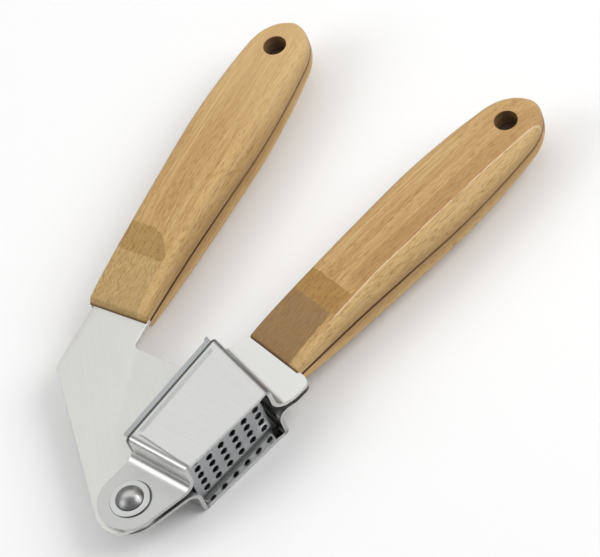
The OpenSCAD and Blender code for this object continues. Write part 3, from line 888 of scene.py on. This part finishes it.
def plate_outline():
    """The flat plate's plan: ear and heel, the seat on the pan, the neck, and the tongue in the grip."""
    seat_x0, seat_x1 = NEAR_X + PAN_X0 + 0.6, NEAR_X + PAN_X1 - 0.2
    floor = (LINER_T + PRESS_GAP + PAN_T) / math.cos(SIEVE_TILT)
    neck_top, neck_low = PRESS_GRIP_Y + GRIP_W0 - 1.4, PRESS_GRIP_Y - GRIP_W0 - 0.1
    lean = math.radians(43.3)
    left_x = (neck_top * math.cos(lean) - PLATE_R) / math.sin(lean)
    low = -PLATE_R * 0.78
    shoulder_x, end = PRESS_GRIP_X + SHOULDER_LAP, PRESS_GRIP_X + TONGUE_LEN
    return outline([
        (-PLATE_R, PLATE_R * (1 - math.sin(lean)) / math.cos(lean), PLATE_R),
        (-PLATE_R, -PLATE_R * 0.12, 1.2),
        (-PLATE_R * 0.73, -PLATE_R * 0.47, 5),
        (-PLATE_R * 0.41, low, 4),
        (NEAR_X - 0.5, low, 2),
        (seat_x0, sieve_at(seat_x0) + floor, 0),
        (seat_x1, sieve_at(seat_x1) + floor, 0),
        (seat_x1 + 2.3, neck_low, 2.2),
        (shoulder_x, neck_low, 0),
        (shoulder_x, PRESS_GRIP_Y - TONGUE_HALF, 0),
        (end, PRESS_GRIP_Y - TONGUE_HALF + TONGUE_DROP, 3),
        (end, PRESS_GRIP_Y + TONGUE_HALF + TONGUE_DROP, 3),
        (shoulder_x, PRESS_GRIP_Y + TONGUE_HALF, 0),
        (shoulder_x, neck_top, 0),
        (left_x, neck_top, 5)], 20)


def press_plate():
    hole = arc((0, 0), PIN_D / 2 + PIN_PLAY, 0, 360, 64)[:-1]
    verts, faces = sheet_from_outline("plate_plan", plate_outline(), PLATE_T, 0.15, [hole])
    make("press_plate_sheet", verts, faces, PLATE_STEEL, "press_plate", "press_lever", True)


presser_pan()
press_plate()


# ---- pivot ----


def pivot_rivet():
    """Shank with a domed head at each end. The dome stops just short of the axis."""
    seat = EAR_Z + RING_T
    ball = (DOME_D ** 2 / 4 + DOME_H ** 2) / (2 * DOME_H)
    full = math.degrees(math.asin((DOME_D / 2 - 0.1) / ball))
    cap = arc((0, seat + DOME_H - ball), ball, 90 - full, 89.6, 22)
    edge = [(DOME_D / 2 - 0.5, seat), (DOME_D / 2 - 0.12, seat + 0.05), (DOME_D / 2, seat + 0.16)]
    top = [(PIN_D / 2, seat)] + edge + cap
    verts, faces = lathe([(r, -z) for r, z in reversed(top)] + top, 96)
    make("pivot_rivet_head", verts, faces, RIVET_STEEL, "pivot_rivet", "basket_lever")


def rivet_ring(label, side):
    """Flat ring under a head, its outer edge rounded and its inner edge bevelled."""
    r0, r1, b = PIN_D / 2 + PIN_PLAY, RING_D / 2, 0.15
    z0, z1 = EAR_Z, EAR_Z + RING_T
    loop = [(r0, z0), (r1, z0)] + arc((r1 - b, z1 - b), b, 0, 90, 4) + [(r0 + b, z1), (r0, z1 - b)]
    steps, n = 96, len(loop)
    verts = [(r * math.cos(2 * math.pi * i / steps), r * math.sin(2 * math.pi * i / steps), side * z)
             for r, z in loop for i in range(steps)]

    def at(k, i):
        return k % n * steps + i % steps

    faces = [(at(k, i), at(k, i + 1), at(k + 1, i + 1), at(k + 1, i))
             for k in range(n) for i in range(steps)]
    make(f"{label}_ring_washer", verts, faces, RING_STEEL,
         f"{label}_rivet_ring", "basket_lever")


pivot_rivet()
for label, side in SIDES:
    rivet_ring(label, side)


# ---- grips: (share of the length, value) points that the section follows, and where the tip rounds off ----

# share of the way from GRIP_W0 to GRIP_W1, share of GRIP_H1, and the edges' radius
WIDTH = [(0, 0), (0.22, 0.08), (0.4, 0.5), (0.6, 1), (0.77, 0.64), (0.91, -0.2), (1, -0.85)]
THICK = [(0, 0.38), (0.1, 0.66), (0.21, 0.87), (0.36, 1), (0.54, 0.98), (0.72, 0.91), (0.89, 0.8), (1, 0.72)]
EDGE = [(0, 0.4), (0.2, 1.9), (0.42, 3.1), (1, 3.2)]
TIP = 0.885
WOOD_LEN = GRIP_LEN - 0.8
CROWN = 0.25


def curve(knots, s):
    """Smooth curve through (place, value) points."""
    def slope(i):
        a, b = max(i - 1, 0), min(i + 1, len(knots) - 1)
        return (knots[b][1] - knots[a][1]) / (knots[b][0] - knots[a][0])

    i = max(j for j in range(len(knots) - 1) if knots[j][0] <= s)
    d = knots[i + 1][0] - knots[i][0]
    t = min((s - knots[i][0]) / d, 1)
    u = 1 - t
    return (knots[i][1] * (1 + 2 * t) * u * u + slope(i) * d * t * u * u
            + knots[i + 1][1] * (3 - 2 * t) * t * t - slope(i + 1) * d * t * t * u)


def tip_round(f, power):
    """Share of the full section left at f in the rounded tip."""
    return 1.0 if f <= TIP else max(1 - ((f - TIP) / (1 - TIP)) ** power, 0) ** (1 / power)


def grip_section(f, shrink=0.0):
    """Section of a scale at a share f of its length: (y, z) from one corner at the seam to the other."""
    w = (GRIP_W0 + (GRIP_W1 - GRIP_W0) * curve(WIDTH, f)) * tip_round(f, 2) - shrink
    h = GRIP_H1 * curve(THICK, f) * max(tip_round(f, 4), 0.4) - shrink
    r = min(curve(EDGE, f), h * 0.85, w * 0.85)
    s = min(SEAM, h / 4, w / 4)
    groove = [(w - s, 0), (w - s * 0.35, s * 0.3), (w, s)]
    right = arc((w - r, h - r), r, 0, 90, 8)
    crown = [(lerp(w - r, r - w, t), h + CROWN * r / 3 * (1 - (2 * t - 1) ** 2))
             for t in [k / 12 for k in range(1, 12)]]
    left = [(-y, z) for y, z in reversed(right)]
    low = groove + [(w, lerp(s, h - r, t)) for t in (0.33, 0.67)]
    return low + right + crown + left + [(-y, z) for y, z in reversed(low)]


def grip_stations():
    """Places (share, how much the section shrinks), close together at the rounded tip and softened start."""
    body = [TIP * k / 44 for k in range(2, 45)]
    tip = [TIP + (1 - TIP) * math.sin(math.radians(a)) for a in range(8, 90, 6)]
    start = [(0.0, 0.35), (0.12 / GRIP_LEN, 0.13), (0.35 / GRIP_LEN, 0.0)]
    return start + [(f, 0.0) for f in body + tip + [0.9999]]


def grip_scale(side):
    """Points and faces of a scale. Its start slants back, so its stations up to the fourth are pushed on."""
    verts, faces = [], []
    stations = grip_stations()
    for f, shrink in stations:
        back = max(1 - f / stations[3][0], 0)
        for y, z in grip_section(f, shrink):
            verts.append((f * WOOD_LEN + (z * START_SLANT - START_BACK) * back, y, side * z))
    n = len(grip_section(0))
    for i in range(len(stations) - 1):
        for j in range(n):
            k = (j + 1) % n
            faces.append((i * n + j, i * n + k, (i + 1) * n + k, (i + 1) * n + j))
    faces.append(tuple(range(n)))
    faces.append(tuple((len(stations) - 1) * n + j for j in range(n)))
    return verts, faces


def hang_hole_tool(at):
    """Cutter of a hanging hole, opening out where it meets the broad faces."""
    r, mouth_r = HANG_D / 2, 0.14
    face = GRIP_H1 * curve(THICK, 1 - HANG_INSET / GRIP_LEN) + CROWN
    turns = [math.radians(a) for a in range(0, 91, 18)]
    mouth = [(r + mouth_r * (1 - math.cos(a)), face - mouth_r + mouth_r * math.sin(a)) for a in turns]
    top = [(r, 0.3)] + mouth + [(r + mouth_r + 0.8, face + 1.5)]
    verts, faces = lathe([(r, -z) for r, z in reversed(top)] + top, 64)
    return scratch_object("hang_tool", [at(v[0] + HANG_X, v[1], v[2]) for v in verts], faces)


def pocket_tool(at, depth):
    """Cutter of the rebate that takes the metal's shoulders and the pocket that takes the tongue."""
    x0, x1, x2 = -3.0, SHOULDER_LAP + SHOULDER_GAP, TONGUE_LEN + TONGUE_GAP
    wide, w = 2 * GRIP_W0, TONGUE_HALF + TONGUE_GAP
    plan = [(x0, -wide), (x1, -wide), (x1, -w), (x2, -w), (x2, w), (x1, w), (x1, wide), (x0, wide)]
    n = len(plan)
    verts = [at(x, y, z) for z in (-depth, depth) for x, y in plan]
    faces = [(i, (i + 1) % n, n + (i + 1) % n, n + i) for i in range(n)]
    faces += [tuple(range(n)), tuple(range(2 * n - 1, n - 1, -1))]
    return scratch_object("pocket_tool", verts, faces)


def grip(lever, label, side):
    """One scale of a lever's grip, with the metal's pocket and the hanging hole cut."""
    press = lever == "press"
    start = (PRESS_GRIP_X, PRESS_GRIP_Y) if press else (GRIP_X, GRIP_Y)

    def at_mm(x, y, z):
        p = turned((x, y, z), GRIP_TILT)
        return (start[0] + p.x, start[1] + p.y, z)

    def at(x, y, z):
        p = Vector(at_mm(x, y, z))
        return PIVOT + (turned(p, REST_OPEN) if press else p) * MM

    verts, faces = grip_scale(side)
    piece = make(f"{lever}_grip_{label}_scale", [at_mm(*v) for v in verts], faces,
                 PRESS_BAMBOO if press else BASKET_BAMBOO,
                 f"{lever}_grip_{label}", f"{lever}_lever", press, 35)
    cut(piece, pocket_tool(at, PLATE_T / 2 if press else EAR_Z), 35)
    cut(piece, hang_hole_tool(at), 35)


for lever in ("press", "basket"):
    for label, side in SIDES:
        grip(lever, label, side)

spacer = frame["nodes"]["tang_spacer"]
spacer.data.materials.clear()
spacer.data.materials.append(PLATE_STEEL)


# ---- floor, light and camera ----


def backdrop():
    """A pale floor that the press lies on, far larger than the view."""
    low, reach = CAD_BOX[0][2], 2.5
    corners = [(-reach, -reach, low), (reach, -reach, low), (reach, reach, low), (-reach, reach, low)]
    mesh = bpy.data.meshes.new("floor")
    mesh.from_pydata(corners, [], [(0, 1, 2, 3)])
    floor = linked("floor", mesh)
    s = Shader("floor_white")
    grain = s.noise(s.add("TexCoord").outputs["Object"], scale=900.0)
    s.feed(s.surface.inputs["Base Color"], s.mix(grain, grey(0.9), grey(0.92)))
    s.surface.inputs["Roughness"].default_value = 0.9
    mesh.materials.append(s.material)


def area_light(name, place, aim, size, power):
    """A soft lamp at place, in metres and watts, facing aim."""
    light = bpy.data.lights.new(name, "AREA")
    light.shape = "RECTANGLE"
    light.size, light.size_y = size
    light.energy = power
    lamp = linked(name, light)
    lamp.location = place
    lamp.rotation_euler = (Vector(aim) - Vector(place)).to_track_quat("-Z", "Y").to_euler()


def world_light():
    """A soft room: darker low round the horizon, lighter overhead."""
    world = bpy.data.worlds.new("studio")
    bpy.context.scene.world = world
    world.use_nodes = True
    tree = world.node_tree
    direction = tree.nodes.new("ShaderNodeTexCoord").outputs["Generated"]
    axes = tree.nodes.new("ShaderNodeSeparateXYZ")
    level = tree.nodes.new("ShaderNodeMapRange")
    level.interpolation_type = "SMOOTHSTEP"
    for key, value in (("From Min", 0.12), ("From Max", 0.6), ("To Min", 0.12), ("To Max", 0.43)):
        level.inputs[key].default_value = value
    tree.links.new(direction, axes.inputs[0])
    tree.links.new(axes.outputs["Z"], level.inputs["Value"])
    tree.links.new(level.outputs[0], tree.nodes["Background"].inputs["Color"])


def camera():
    """The view of the press: where the camera stands, what it aims at, and its roll."""
    stand = PIVOT + Vector((-179.577, -565.612, 843.677)) * MM
    aim = PIVOT + Vector((83.103, 14.680, 0)) * MM
    roll = math.radians(-24.5252)
    data = bpy.data.cameras.new("camera")
    data.lens = 217.778
    data.sensor_width = 36
    data.clip_end = 20
    view = linked("camera", data)
    look = (aim - stand).to_track_quat("-Z", "Y").to_matrix().to_4x4()
    view.matrix_world = Matrix.Translation(stand) @ look @ Matrix.Rotation(roll, 4, "Z")
    bpy.context.scene.camera = view


backdrop()
world_light()
LIT_POINT = (0.04, 0, 0)
area_light("top_softbox", (0.34, 0.66, 1.0), LIT_POINT, (1.5, 1.2), 4.2)
area_light("left_softbox", (-0.8, 0.55, 0.75), LIT_POINT, (0.8, 0.8), 5)
area_light("key", (0.85, -0.6, 0.85), LIT_POINT, (0.9, 0.9), 11)
camera()
bpy.context.scene.view_settings.view_transform = "Standard"
